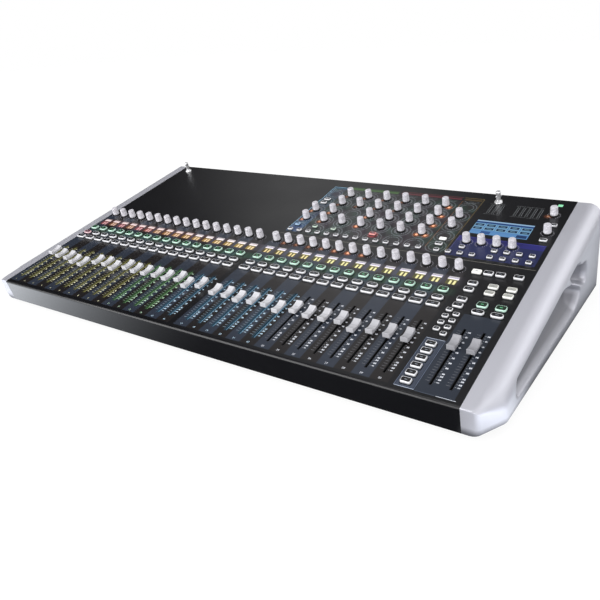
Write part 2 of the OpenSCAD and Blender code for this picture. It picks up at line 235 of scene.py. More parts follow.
# Rear panel with its sockets
# A second black sheet closes the back. Round cable sockets are riveted through it in rows: the inputs have
# three contact holes in a flush face, the outputs three gilt pins in a recess, and a mains inlet sits apart.
def loft(name, rings, smooth=40):
    """A closed mesh through rings of points, smooth except at edges sharper than an angle in degrees."""
    count = len(rings[0])
    faces = []
    for k in range(len(rings) - 1):
        for i in range(count):
            j = (i + 1) % count
            faces.append((k * count + i, k * count + j, (k + 1) * count + j, (k + 1) * count + i))
    faces.append(tuple(reversed(range(count))))
    faces.append(tuple((len(rings) - 1) * count + i for i in range(count)))
    mesh = bpy.data.meshes.new(name)
    mesh.from_pydata([p for ring in rings for p in ring], [], faces)
    bm = bmesh.new()
    bm.from_mesh(mesh)
    bmesh.ops.remove_doubles(bm, verts=bm.verts, dist=1e-6)
    bmesh.ops.recalc_face_normals(bm, faces=bm.faces)
    bm.to_mesh(mesh)
    bm.free()
    mesh.shade_smooth()
    mesh.set_sharp_from_angle(angle=radians(smooth))
    return mesh


def lathe(name, profile, sides=32, flute=0.0, flutes=20, smooth=40):
    """A turned piece from (radius, height) points, with shallow flutes where the third value is 1."""
    rings = []
    for r, z, *ribbed in profile:
        depth = flute if ribbed and ribbed[0] else 0.0
        ring = []
        for i in range(sides):
            a = 2 * pi * i / sides
            reach = r - depth * (0.5 - 0.5 * cos(a * flutes))
            ring.append((reach * cos(a), reach * sin(a), z))
        rings.append(ring)
    return loft(name, rings, smooth)


def copies_tree():
    """Geometry nodes that put one piece at many points of a frame, as one real mesh."""
    tree = bpy.data.node_groups.new("copies_in_a_frame", "GeometryNodeTree")
    for name, kind in (("Geometry", "Geometry"), ("Piece", "Object"), ("Frame Place", "Vector"),
                       ("Frame Turn", "Vector"), ("Unit", "Float"), ("Finish", "Material")):
        tree.interface.new_socket(name=name, in_out="INPUT", socket_type="NodeSocket" + kind)
    tree.interface.new_socket(name="Geometry", in_out="OUTPUT", socket_type="NodeSocketGeometry")

    def add(kind, **sources):
        made = tree.nodes.new(kind)
        for entry, (source, output) in sources.items():
            tree.links.new(source.outputs[output], made.inputs[entry])
        return made

    def own(label):
        made = add("GeometryNodeInputNamedAttribute")
        made.data_type = "FLOAT_VECTOR"
        made.inputs["Name"].default_value = label
        return made, "Attribute"

    start = add("NodeGroupInput")
    unit = add("ShaderNodeCombineXYZ", **{axis: (start, "Unit") for axis in "XYZ"})
    piece = add("GeometryNodeObjectInfo", Object=(start, "Piece"))
    scatter = add("GeometryNodeInstanceOnPoints", Points=(start, "Geometry"), Instance=(piece, "Geometry"),
                  Rotation=own("turn"), Scale=own("grow"))
    real = add("GeometryNodeRealizeInstances", Geometry=(scatter, "Instances"))
    move = add("GeometryNodeTransform", Geometry=(real, "Geometry"), Translation=(start, "Frame Place"),
               Rotation=(start, "Frame Turn"), Scale=(unit, "Vector"))
    paint = add("GeometryNodeSetMaterial", Geometry=(move, "Geometry"), Material=(start, "Finish"))
    add("NodeGroupOutput", Geometry=(paint, "Geometry"))
    return tree


copies_nodes = copies_tree()
white = (1.0, 1.0, 1.0, 1.0)


def spot(u, v, w=0.0, turn=0.0, grow=(1.0, 1.0, 1.0), tone=white):
    """One place for a copy: where, how far it is turned, how it is stretched, and its own colour."""
    return (u, v, w), (0.0, 0.0, turn), grow, tone


def fit(name, mesh, body="console"):
    """A finished mesh as a piece of the console that rides on a body."""
    made = bpy.data.objects.new(name, mesh)
    bpy.context.scene.collection.objects.link(made)
    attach(made, body)
    return made


def copies(name, piece, spots, finish, body="console", place=on_panel):
    """Copies of a piece at many spots, joined as one piece that rides on a body."""
    places, *rows = zip(*spots)
    points = bpy.data.meshes.new(name + "_points")
    points.from_pydata(places, [], [])
    kinds = (("turn", "FLOAT_VECTOR", "vector"), ("grow", "FLOAT_VECTOR", "vector"),
             ("tone", "FLOAT_COLOR", "color"))
    for (label, kind, field), row in zip(kinds, rows):
        layer = points.attributes.new(label, kind, "POINT")
        layer.data.foreach_set(field, [x for values in row for x in values])
    source = bpy.data.objects.new(name + "_piece", piece)
    holder = bpy.data.objects.new(name + "_points", points)
    for o in (source, holder):
        bpy.context.scene.collection.objects.link(o)
    modifier = holder.modifiers.new("copies", "NODES")
    modifier.node_group = copies_nodes
    values = {"Piece": source, "Frame Place": place.to_translation(), "Frame Turn": Vector(place.to_euler()),
              "Unit": place.to_scale().x, "Finish": finish.material}
    for socket in copies_nodes.interface.items_tree:
        if socket.in_out == "INPUT" and socket.name in values:
            modifier[socket.identifier] = values[socket.name]
    bpy.context.view_layer.update()
    real = bpy.data.meshes.new_from_object(holder.evaluated_get(bpy.context.evaluated_depsgraph_get()))
    for label in ("turn", "grow"):
        real.attributes.remove(real.attributes[label])
    for o in (source, holder):
        bpy.data.objects.remove(o)
    bpy.data.meshes.remove(points)
    real.name = name
    return fit(name, real, body)


socket_black = coat("socket_moulding", "1a1b1d", 0.4)
gilt = coat("gilt_contact", "d9b45f", 0.22, Metallic=1.0)
dress("rear_panel", black_coat)
dress("input_sockets", socket_black)
dress("output_sockets", socket_black)
dress("mains_inlet", socket_black)
pin_circle = 4.2
pin_turns = [radians(a) for a in (-50, 90, 230)]
pin = lathe("contact_pin", [(0.2, -12.4), (1.2, -12.4), (1.2, -3.6), (0.9, -2.8), (0.2, -2.6)], sides=16)
output_middles = [middle(b) for b in solids("output_sockets", on_rear)]
copies("output_socket_pins", pin,
       [spot(m.x + pin_circle * cos(a), m.y + pin_circle * sin(a))
        for m in output_middles for a in pin_turns],
       gilt, place=on_rear)
rivet = lathe("socket_rivet", [(1.9, 1.9), (1.9, 2.2), (1.5, 2.8), (0.6, 3.1), (0.1, 3.1)], sides=16)
input_middles = [middle(b) for b in solids("input_sockets", on_rear)]
rivet_u = 10.2
rivet_v = 12.6
bright_steel = coat("bright_steel", "b9babd", 0.26, Metallic=1.0)
copies("socket_rivets", rivet,
       [spot(m.x + s * rivet_u, m.y + s * rivet_v) for m in output_middles + input_middles for s in (-1, 1)],
       bright_steel, place=on_rear)


def plate(name, size, r, steps, corner_steps=5):
    """A plate with round corners, lofted through (inset, height) steps from its foot to its top."""
    rings = []
    for inset, z in steps:
        half_x = size[0] / 2 - inset
        half_y = size[1] / 2 - inset
        bend = max(0.02, min(r - 0.6 * inset, half_x - 0.01, half_y - 0.01))
        ring = []
        for quarter in range(4):
            cx = (half_x - bend) * (1 if quarter in (0, 3) else -1)
            cy = (half_y - bend) * (1 if quarter in (0, 1) else -1)
            for step in range(corner_steps + 1):
                a = pi / 2 * (quarter + step / corner_steps)
                ring.append((cx + bend * cos(a), cy + bend * sin(a), z))
        rings.append(ring)
    return loft(name, rings)


latch = plate("socket_latch", (7.0, 3.6), 0.8, [(0, 1.9), (0, 3.2), (0.4, 3.6), (0.9, 3.6)])
latch_drop = 12.4
copies("socket_latches", latch, [spot(m.x, m.y - latch_drop) for m in input_middles], bright_steel,
       place=on_rear)

# Case screws
# Black pan-head screws with a cross recess hold the tray along the front edge, from below, and the rear
# panel round its border. The heads stand on the sheet.
head_r = 4.0
head_h = 2.4
shank_r = 1.9
dome = [(shank_r, -3.0), (shank_r, 0.0), (head_r, 0.0), (head_r, 0.8), (3.7, 1.5), (2.9, 2.1), (1.6, head_h),
        (0.1, head_h)]
head = bpy.data.objects.new("screw_head", lathe("screw_head", dome, sides=28))
cutters = []
for size in ((4.2, 0.9), (0.9, 4.2)):
    cutter = bpy.data.objects.new("recess", plate("recess", size, 0.2, [(0, 1.2), (0, 4.0)], 2))
    bpy.context.scene.collection.objects.link(cutter)
    cut = head.modifiers.new("recess", "BOOLEAN")
    cut.operation = "DIFFERENCE"
    cut.object = cutter
    cutters.append(cutter)
bpy.context.scene.collection.objects.link(head)
bpy.context.view_layer.update()
head_mesh = bpy.data.meshes.new_from_object(head.evaluated_get(bpy.context.evaluated_depsgraph_get()))
for o in cutters + [head]:
    bpy.data.objects.remove(o)
screw_black = coat("screw_black_oxide", "2a2a2c", 0.34, Metallic=0.8)
rear_spots = [middle(b) for b in solids("case_screws", on_rear) if b[1].z > 0.5]
rear_screws = copies("rear_screws", head_mesh,
                     [spot(m.x, m.y, turn=0.4 * i) for i, m in enumerate(rear_spots)],
                     screw_black, place=on_rear)
head_down = Matrix.Rotation(pi, 4, "X") @ millimetre
edge_shift = 1.5
front_boxes = [b for b in solids("case_screws", millimetre) if middle(b).y < 0]
taller = (1, 1, 1.25)
front_screws = copies("front_screws", head_mesh,
                      [spot(middle(b).x, edge_shift - middle(b).y, -(b[0].z + head_h), 0.5 * i, taller)
                       for i, b in enumerate(front_boxes)],
                      screw_black, place=head_down)
for screws in (rear_screws, front_screws):
    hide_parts("case_screws")

# Control panel
# One steel sheet bent down at the front, baked black. The strips are printed on it in turn blue-grey and
# brown-black, and the upper sections have dim coloured fields with bands along their rear ends. Light from
# the lit slots, keys and level windows is painted on the sheet as a faint glow.
fader_names = sorted(n for n in frame["nodes"] if n.startswith("fader_") and n[6:8].isdigit())
main_names = ["fader_main_left", "fader_main_right"]
slider_box = {n: solids(n)[0] for n in fader_names + main_names}
strip_u = [middle(slider_box[n]).x for n in fader_names]
main_u = [middle(slider_box[n]).x for n in main_names]
left_strips = 16
pitch = (strip_u[left_strips - 1] - strip_u[0]) / (left_strips - 1)
bank_u = (strip_u[0] - pitch / 2, strip_u[left_strips] - pitch / 2)
bank_strips = (left_strips, len(strip_u) - left_strips)
strip_v = (9.0, 262.0)


def panel_axes(finish):
    """The panel's u, v and w at a point, in millimetres."""
    local = finish.node("Mapping", {"vector_type": "TEXTURE"}, Vector=finish.place(), Location=corner,
                        Rotation=(tilt, 0, 0), Scale=(0.001, 0.001, 0.001))
    return [finish.node("SeparateXYZ", {}, local, out=i) for i in range(3)]


panel_print_and_glow = Finish("panel_print_and_glow")
u, v, w = panel_axes(panel_print_and_glow)
cloud = panel_print_and_glow.noise(9.0, 5.0)
base = panel_print_and_glow.mix(cloud, colour("09090c"), colour("0e0e13"))
for start, count in zip(bank_u, bank_strips):
    here = v.between(*strip_v) * u.between(start, start + count * pitch)
    odd = ((u - start) / pitch % 2.0) < 1.0
    base = panel_print_and_glow.over(base, (here * odd, "2a303c"), (here * (1 - odd), "1b1819"))
top = w > -0.5
section_u = (434.0, 736.0)
section_v = (302.0, 474.0)
fields = [
    ((826, 876, 8, 167), "252b36"), ((800, 824, 10, 104), "3a4150"), ((742, 878, 301, 346), "20264e"),
    ((742, 878, 346, 360), "28286c"), ((434, 462, *section_v), "1e3146"), ((462, 577, *section_v), "202425"),
    ((577, 700, *section_v), "201e22"), ((704, 736, *section_v), "222120"), ((436, 468, 472, 480), "24475c"),
    ((468, 574, 476, 483), "3a5a2c"), ((580, 698, 478, 483), "5c252e"), ((703, 735, 478, 483), "4a3c26"),
]
base = panel_print_and_glow.over(base, *[(u.between(u0, u1) * v.between(v0, v1) * top, code)
                                for (u0, u1, v0, v1), code in fields])
sections = u.between(*section_u) * v.between(*section_v) * top
first_ring = (429.75, 334.85)
ring_pitch = (38.5, 33.3)
ring_u, ring_v = [(a - low) % step - step / 2 for a, low, step in zip((u, v), first_ring, ring_pitch)]
ring = ring_u.length(ring_v)
speckle = panel_print_and_glow.noise(620.0, 2.0)
patches = panel_print_and_glow.noise(38.0, 1.0)
fine_lines = ((ring % 5.2) < 1.5) * ring.between(7.5, 19.0) * speckle.fade(0.34, 0.56)
base = panel_print_and_glow.over(base, (sections * patches.fade(0.52, 0.64) * 0.6, "342430"),
                        (sections * patches.fade(0.48, 0.36) * 0.6, "1e3a30"),
                        (sections * speckle.fade(0.6, 0.36) * 0.5, "131517"),
                        (sections * fine_lines * 0.42, "98a2a8"))
# Painted glow: the light of the lit slots, the on keys, the level windows, the blue keys and the red key is
# painted on the sheet as emission, though the sheet is no lamp.
lit_strips = [(0, 0, 10, "5e5d28"), (0, 10, 14, "286a34"), (0, 14, 16, "1c506c"), (1, 0, 6, "1c506c")]
painted_glow = colour("000000")
for bank, first, last, code in lit_strips:
    start = bank_u[bank]
    away = abs((u - start) / pitch % 1.0 - 0.5) * pitch
    near = away.fade(5.5, 1.0) * v.fade(20.0, 34.0) * v.fade(142.0, 128.0) * top
    painted_glow = panel_print_and_glow.over(painted_glow, (near * u.between(start + first * pitch, start + last * pitch), code))
bank_end = u.fade(800.0, 780.0)
on_row_glow = v.fade(198.0, 204.0) * v.fade(220.0, 213.0) * u.fade(3.0, 10.0) * bank_end * top
window_row_glow = v.fade(222.0, 228.0) * v.fade(250.0, 245.0) * u.fade(2.0, 12.0) * top
blue_corner_glow = u.between(435.0, 462.0) * v.between(303.0, 400.0) * v.fade(380.0, 325.0) * top
red_key_at = (600.5, 327.0)
red_key_glow = (u - red_key_at[0]).length(v - red_key_at[1]).fade(10.5, 4.0) * top
painted_glow = panel_print_and_glow.over(painted_glow, (on_row_glow, "285e45"), (window_row_glow * u.fade(440.0, 260.0), "74423a"),
                         (window_row_glow * u.fade(260.0, 440.0) * bank_end, "625c68"), (blue_corner_glow, "2a5c98"))
painted_glow = panel_print_and_glow.mix(red_key_glow, painted_glow, colour("c43c44", 2.2))
panel_print_and_glow.surface(Base_Color=base, Emission_Color=painted_glow, Emission_Strength=0.3,
                    Roughness=0.26 + 0.1 * cloud, Specular_IOR_Level=0.45,
                    Coat_Weight=w < -3.0, Coat_Roughness=0.22,
                    Normal=panel_print_and_glow.bump(panel_print_and_glow.noise(1700.0), 0.15, 0.00003))
dress("control_panel", panel_print_and_glow)


# Printed marks on the panel
# White and coloured ink: a scale and numbers beside every fader, the strip numbers at the front, ticks round
# the knobs, and thin lines that frame the sections. All the ink glows a little, and beside the lit slots the
# scale and numbers are tinted and brightened with the slot's light; both are painted light.
def ink(name, glow, unlit=None):
    """Printed or lit marks that take each copy's own colour and glow with it, a painted glow where the mark
    is only print; lamps are dark when they are off.
    """
    made = Finish(name)
    own = made.node("Attribute", {"attribute_name": "tone"}, out="Color")
    made.surface(Base_Color=unlit or own, Emission_Color=own, Emission_Strength=glow, Roughness=0.5)
    return made


# The printed marks glow a little: painted light.
mark_ink = ink("mark_ink", 0.2)
mark = plate("mark", (1.0, 1.0), 0.02, [(0, 0.0), (0, 0.06)], 1)
slot_glow = ["a6a35e"] * 10 + ["74a86c"] * 4 + ["6296b6"] * 8 + [None] * 10
scale_v = [30, 35, 41, 46, 57, 67, 77, 88, 98, 109, 120, 130]
scale_words = ["", "60", "50", "40", "30", "20", "15", "10", "5", "0", "5", "10"]
# Ink colour by the light of each slot: beside the lit slots the marks are painted in the slot's light colour.
mark_tint_in_slot_light = {None: "c9ccd4", "a6a35e": "d4d2ae", "74a86c": "b4d4b6", "6296b6": "b4cfe2"}
tick_v = [30 + 5 * i for i in range(21)]
tick_u = 3.9
long_tick_u = -5.6
number_u = 7.6
marks = []
for at_u, glow in zip(strip_u + main_u, slot_glow):
    # Painted light: beside the lit slots the marks are tinted with the slot's colour and made brighter.
    tint = colour(mark_tint_in_slot_light[glow], 0.75 if glow is None else 0.66)
    faint = colour(mark_tint_in_slot_light[glow], 0.4 if glow is None else 0.75)
    long = colour(mark_tint_in_slot_light[glow], 0.24 if glow is None else 0.5)
    for at_v in tick_v:
        marks.append(spot(at_u + tick_u, at_v, grow=(2.0, 0.6, 1), tone=faint))
        marks.append(spot(at_u + long_tick_u, at_v, grow=(5.2, 0.5, 1), tone=long))
    for at_v in scale_v:
        marks.append(spot(at_u + number_u, at_v, grow=(3.4, 1.5, 0.3), tone=tint))
copies("fader_scale_marks", mark, marks, mark_ink)

section_lines = [
    (430, 293, 882, 293, "74726a"), (434, 308, 434, 481, "8fbcd8"), (434, 481, 470, 481, "8fbcd8"),
    (438, 436, 438, 476, "7896ac"), (442, 440, 442, 472, "5c7688"), (462, 314, 462, 474, "3c5468"),
    (470, 485, 574, 485, "4c6b45"), (580, 487, 698, 487, "6e2f35"),
    (703, 487, 737, 487, "7d6a3b"), (737, 313, 737, 487, "6f5f3a"), (702, 315, 702, 474, "7a4f30"),
    (577, 314, 577, 474, "4a4648"), (742, 301, 742, 360, "4a4a80"), (742, 360, 878, 360, "4646a0"),
    (799, 9.5, 825, 9.5, "aab4c6"), (799, 104.5, 825, 104.5, "aab4c6"), (799, 9.5, 799, 104.5, "59647a"),
    (825, 9.5, 825, 104.5, "59647a"), (828, 8.6, 852, 8.6, "3a4250"), (854, 8.6, 878, 8.6, "b9bec8"),
]
line_w = 0.7
lines = [spot((u0 + u1) / 2, (v0 + v1) / 2, grow=(u1 - u0 + line_w, v1 - v0 + line_w, 1.1), tone=colour(code))
         for u0, v0, u1, v1, code in section_lines]
copies("section_lines", mark, lines, mark_ink)
ink_h = 0.03
number_h = 3.0
digit_share = 0.7


def lettering(name, words, finish):
    """Flat numbers printed on the panel, from (words, u, v, height) rows, as one piece."""
    joined = bmesh.new()
    for words_here, at_u, at_v, height in words:
        text = bpy.data.curves.new(name, "FONT")
        text.body = words_here
        text.size = height / digit_share
        text.align_x = "CENTER"
        text.align_y = "CENTER"
        text.extrude = ink_h
        text.resolution_u = 2
        holder = bpy.data.objects.new(name, text)
        flat = bpy.data.meshes.new_from_object(holder)
        flat.transform(on_panel @ Matrix.Translation((at_u, at_v, ink_h)))
        joined.from_mesh(flat)
        bpy.data.objects.remove(holder)
        bpy.data.meshes.remove(flat)
    mesh = bpy.data.meshes.new(name)
    joined.to_mesh(mesh)
    joined.free()
    mesh.materials.append(finish.material)
    return fit(name, mesh)


for glow, code in mark_tint_in_slot_light.items():
    # The numbers glow a little, and beside the lit slots take the slot's light colour: painted light.
    number_ink = coat("number_ink_" + code, code, 0.5, Emission_Color=colour(code), Emission_Strength=0.3)
    numbers = []
    for i, at_u in enumerate(strip_u + main_u):
        if slot_glow[i] == glow:
            numbers += [(words, at_u + number_u, at_v, number_h)
                        for words, at_v in zip(scale_words, scale_v) if words]
            if i < len(strip_u):
                numbers.append((str(i + 1), at_u, 13.5, 3.2))
    lettering("panel_numbers_" + code, numbers, number_ink)

knob_middles = {n: [middle(b) for b in solids(n)] for n in ("channel_knobs", "section_knobs")}
screen_knob_names = sorted(n for n in frame["nodes"] if n.startswith("screen_knob_"))
screen_knob_middles = [middle(solids(n)[0]) for n in screen_knob_names]
ring_r = 9.6
ring_turns = [radians(-60 + 20 * i) for i in range(16)]
ring_marks = []
for m in knob_middles["channel_knobs"] + knob_middles["section_knobs"] + screen_knob_middles:
    for a in ring_turns:
        ring_marks.append(spot(m.x + ring_r * cos(a), m.y + ring_r * sin(a), turn=a, grow=(1.7, 0.8, 1),
                               tone=colour("98969f")))
copies("knob_ring_marks", mark, ring_marks, mark_ink)

# Light guides in the fader slots
# Two thin strips of coloured clear plastic line the slot of every lit strip, one on each side of the lever,
# and black felt lips close the unlit slots.
slot_reach = 6.0
travel = 100.0
guide_light = ink("slot_light", 0.85, colour("101010"))
guide = plate("slot_guide", (1.0, 1.0), 0.02, [(0, -1.7), (0, -0.3)], 1)
fader_low = 30.0
slot_middle = fader_low + travel / 2
slot_length = travel + 2 * slot_reach - 1
guides = []
for at_u, glow in zip(strip_u + main_u, slot_glow):
    for side, strength in ((-1, 0.25), (1, 1.0)):
        shade = colour(glow, strength) if glow else colour("050506")
        guides.append(spot(at_u + side * 1.65, slot_middle, grow=(0.5, slot_length, 1), tone=shade))
copies("slot_light_guides", guide, guides, guide_light)
edges = [spot(at_u + 2.75, slot_middle, grow=(0.9, slot_length, 1), tone=colour(glow))
         for at_u, glow in zip(strip_u, slot_glow) if glow]
copies("slot_light_edges", mark, edges, guide_light)

# Lamps and level meters in the panel
# Clear lenses stand in windows of the sheet: a level window with two bars and a name lamp for each strip,
# eight bar meters by the screen and one small status lamp. Their colour runs from red to yellow.
lens_dark = coat("meter_smoked_lens", "17170f", 0.16, Specular_IOR_Level=0.5)
lamp_light = ink("lamp_light", 1.15, colour("0c0c0c"))
lens_boxes = solids("indicator_lenses")
windows = [b for b in lens_boxes if 9 < (b[1] - b[0]).y < 11]
bars = [b for b in lens_boxes if 4 < (b[1] - b[0]).y < 6]
meters = [b for b in lens_boxes if (b[1] - b[0]).y > 20]
status = [b for b in lens_boxes if 7 < (b[1] - b[0]).y < 9]
lens = plate("lens", (1.0, 1.0), 0.05, [(0, -1.0), (0, -0.1)], 2)


def filled(box, inset=0.1, tone=white, lift=0.0):
    size = box[1] - box[0]
    return spot(middle(box).x, middle(box).y, lift, grow=(size.x - inset, size.y - inset, 1), tone=tone)


window_glass = copies("lens_windows", lens, [filled(b) for b in windows + meters], lens_dark)
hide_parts("indicator_lenses")
strip_hues = ["b9565c", "c4865c", "be5a62", "c8885a", "c45e66", "ca6a60", "d0965a", "d69850", "d99a50",
              "dba650", "ddac54", "deb058", "e0b45c", "e0b85e", "e1bc60", "e2c064", "e2c468", "e2c86c",
              "e3cc70", "e4d276"]
strip_hues += ["e6de86"] * (len(strip_u) - len(strip_hues))
lamp = plate("lamp", (1.0, 1.0), 0.05, [(0, -0.5), (0, -0.05)], 2)
lit = []
for box, hue in zip(windows, strip_hues):
    m = middle(box)
    size = box[1] - box[0]
    rise, depth = (0.3, 0.4) if m.x < bank_u[1] else (0.18, 0.1)
    pale = [(1 - rise) * c + rise for c in colour(hue)[:3]] + [1.0]
    lit.append(spot(m.x, m.y, 0.02, grow=(size.x - 0.4, size.y - 0.4, 1), tone=colour(hue, depth)))
    for share in (0.42, 0.8):
        lit.append(spot(box[0].x + share * size.x, m.y, 0.06, grow=(0.21 * size.x, 0.96 * size.y, 1),
                        tone=pale))
rim_glows = []
for i, box in enumerate(bars):
    m = middle(box)
    size = box[1] - box[0]
    bright = "f8dcd6" if i < 10 else "fcf8fa"
    dull = "e0ccd0" if m.x < bank_u[1] else "bab2cc"
    for share, code in ((0.26, bright), (0.76, dull)):
        lit.append(spot(m.x, box[0].y + share * size.y, grow=(size.x - 0.4, 0.46 * size.y, 1),
                        tone=colour(code)))
    # Strips of glow on the sheet just above and below each name lamp: painted light from the lamp and the
    # level window.
    for edge, tone in ((box[1].y + 1.2, colour(bright, 0.55)), (box[0].y - 1.3, colour(strip_hues[i], 0.3))):
        rim_glows.append(spot(m.x, edge, grow=(size.x - 0.8, 2.2, 1), tone=tone))
lit += [filled(b, 0.3, colour("8fe0b0")) for b in status]
segments = 12
for box in meters:
    size = box[1] - box[0]
    step = size.y / segments
    for k in range(segments):
        lit.append(spot(middle(box).x, box[0].y + (k + 0.5) * step, 0.05, grow=(size.x - 0.8, 0.62 * step, 1),
                        tone=colour("45484c")))
copies("panel_lamps", lamp, lit, lamp_light)
copies("name_lamp_rims", mark, rim_glows, lamp_light)
meter_frames = []
for group in (meters[:3], meters[3:]):
    low = group[0][0]
    high = group[-1][1]
    for edge in (low.y - 2.2, high.y + 2.2):
        meter_frames.append(spot((low.x + high.x) / 2, edge, grow=(high.x - low.x + 6, 0.5, 1),
                                 tone=colour("5c5e60")))
    for box in group:
        meter_frames.append(spot(box[1].x + 1.6, middle(box).y, grow=(0.6, 30, 1), tone=colour("6a6c70")))
copies("meter_scales", mark, meter_frames, mark_ink)

# Screen
# A small colour display under flat glass, sunk a little below the sheet. It shows a plain page: a header
# strip, two rows of dark fields on light blue, and a footer.
screen_page = Finish("screen_page")
u, v, w = panel_axes(screen_page)
page_u = (750.2, 845.6)
page_v = (372.2, 418.3)
across = (u - page_u[0]) / (page_u[1] - page_u[0])
up = (v - page_v[0]) / (page_v[1] - page_v[0])
cell = across * 5.0 % 1.0
row = (up - 0.3) / 0.24 % 1.0
rows = up.between(0.3, 0.78)
footer = up.between(0.06, 0.24)
page = screen_page.over(screen_page.mix(up, colour("6ea6e0"), colour("3f74ba")),
                        (rows * cell.between(0.04, 0.96) * row.between(0.06, 0.94), "8fc4e2"),
                        (rows * cell.between(0.12, 0.88) * row.between(0.2, 0.8), "1b2f56"),
                        (rows * cell.between(0.3, 0.7) * row.between(0.42, 0.58), "7fb0c8"),
                        (up.between(0.8, 0.88), "25457c"), (up.between(0.9, 0.985), "a9d0f2"),
                        (footer * across.between(0.8, 0.97), "24406e"),
                        (footer * across.between(0.2, 0.36), "3a62a0"),
                        (1 - across.between(0.012, 0.988) * up.between(0.02, 0.98), "101626"),
                        (1 - (w > -0.6), "08090b"))
screen_page.surface(Base_Color=colour("0b0d12"), Emission_Color=page, Emission_Strength=0.7, Roughness=0.18)
dress("display_module", screen_page)

# Lamp posts
# Two plated bayonet posts for gooseneck lamps stand at the rear edge, each with two small lugs and a
# six-sided nut where it is clamped in the sheet.
plated = coat("bright_plating", "e8e8ea", 0.3, grain=600.0, depth=0.00001, Metallic=0.6)
post_middles = [middle(b) for b in solids("lamp_sockets")]
post_h = 21.0
post = lathe("lamp_post", [(0.1, -7.0), (3.6, -7.0), (3.6, 0.0), (6.9, 0.0), (6.9, 1.4), (6.5, 1.9),
                           (3.7, 2.2), (3.7, 16.6), (4.1, 17.2), (4.1, post_h - 0.6), (3.6, post_h),
                           (1.5, post_h), (1.5, post_h - 6), (0.1, post_h - 6)])
posts = copies("lamp_posts", post, [spot(m.x, m.y) for m in post_middles], plated)
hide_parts("lamp_sockets")
lug = lathe("bayonet_lug", [(0.9, -5.2), (0.9, 5.2), (0.5, 5.5), (0.1, 5.5)], sides=14)
lug.transform(Matrix.Rotation(pi / 2, 4, "Y"))
copies("lamp_post_lugs", lug, [spot(m.x, m.y, 11.5, turn=0.7) for m in post_middles], plated)
nut = lathe("post_nut", [(3.8, 1.9), (5.9, 1.9), (5.9, 3.6), (5.5, 4.0), (4.2, 4.0), (3.8, 3.6)], sides=6,
            smooth=20)
copies("lamp_post_nuts", nut, [spot(m.x, m.y, 0.0, turn=0.3) for m in post_middles], plated)

# Keys
# Each key is a white translucent moulding, lit from below, with a drawn-in upper edge and a smoked window
# set in its top. The keys of a bank ride on one pressed body.
key_rim = 0.9


def key_rings(high):
    """Insets and heights of a key's wall, pillowed upper edge and sunk top."""
    return [(0.0, -1.6), (0.0, 0.4), (0.1, high - 1.3), (0.24, high - 0.6), (0.45, high - 0.2),
            (0.62, high - 0.04), (0.75, high), (key_rim, high - 0.06), (key_rim, high - 0.6)]


def key_finish(name, glow):
    """Milky plastic lit from behind, in each key's own colour, with the lower wall painted dark grey as shade
    and not glowing there.
    """
    made = Finish(name)
    own = made.node("Attribute", {"attribute_name": "tone"}, out="Color")
    cloud = made.noise(600.0)
    _, _, w = panel_axes(made)
    # Painted shade: the lower wall of each key turns dark grey.
    above_painted_shade = w.fade(0.9, 3.0)
    made.surface(Base_Color=made.mix(above_painted_shade, colour("2e3133"), own), Emission_Strength=glow,
                 Emission_Color=made.mix(above_painted_shade, colour("000000"), own), Roughness=0.24 + 0.1 * cloud,
                 Coat_Weight=0.3, Coat_Roughness=0.12)
    return made


key_milk = key_finish("key_milky_plastic", 0.12)
key_window = key_finish("key_smoked_window", 0.3)
legend_ink = ink("key_legend_light", 1.0)
corner_r = {(15, 11): 3.0, (17, 9): 4.2, (19, 9): 1.8, (14, 9): 1.8, (9, 7): 1.6, (12, 7): 1.6}
lit_keys = [
    (842, 217.7, "f6f6f2", "8f8f8a"), (842, 233.5, "f6f6f2", "8f8f8a"), (868, 217.7, "f6f6f2", "9a9a94"),
    (868, 233.5, "f6f6f2", "9a9a94"), (806.7, 264, "f8f8f4", "d8d8d4"), (721.5, 340.6, "fafaf8", "e8e8e4"),
    (600.5, 327, "f2a29e", "5a1a1e"), (446.5, 325.5, "a8c8e6", "2a4a68"), (484.5, 325.5, "c8dccc", "1e2c24"),
    (523, 325.5, "c8dccc", "1e2c24"), (strip_u[0], 188.5, "e6c2c8", "4a1a26"),
]


def key_tones(m, size):
    """Colours of a key's body and window, from the lamps that are lit."""
    for at_u, at_v, body, window in lit_keys:
        if abs(m.x - at_u) < 3 and abs(m.y - at_v) < 4:
            return colour(body), colour(window)
    if size == (15, 11):
        return colour("c2e4d4"), colour("0b2213")
    return colour("e2e2e6"), colour("0b0b0e")


for node in ("on_keys", "solo_keys", "select_keys", "section_keys", "master_keys"):
    body = node[:-1] + "_bank"
    keys = {}
    for box in solids(node):
        size = box[1] - box[0]
        keys.setdefault((int(size.x + 0.01), int(size.y + 0.01)), []).append(box)
    legends = []
    for size, boxes in keys.items():
        high = boxes[0][1].z
        width = boxes[0][1] - boxes[0][0]
        middles = [middle(b) for b in boxes]
        tones = [key_tones(m, size) for m in middles]
        label = "%s_%dx%d" % (node, *size)
        pane_rings = [(key_rim, high - 0.6), (key_rim, high - 0.22), (key_rim + 0.2, high - 0.16),
                      (key_rim + 0.7, high - 0.2)]
        milk = plate(label, width, corner_r[size], key_rings(high), 6)
        pane = plate(label + "_window", width, corner_r[size], pane_rings, 6)
        milk_spots, pane_spots = [[spot(m.x, m.y, tone=t[i]) for m, t in zip(middles, tones)] for i in (0, 1)]
        copies(label + "_bodies", milk, milk_spots, key_milk, body)
        copies(label + "_windows", pane, pane_spots, key_window, body)
        glyph = colour("4f9a6c" if size == (15, 11) else "62666e")
        legends += [spot(m.x, m.y, high - 0.19, grow=(0.26 * width.x, 1.0, 1), tone=glyph) for m in middles]
    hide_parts(node)
    copies(node + "_legends", mark, legends, legend_ink, body)


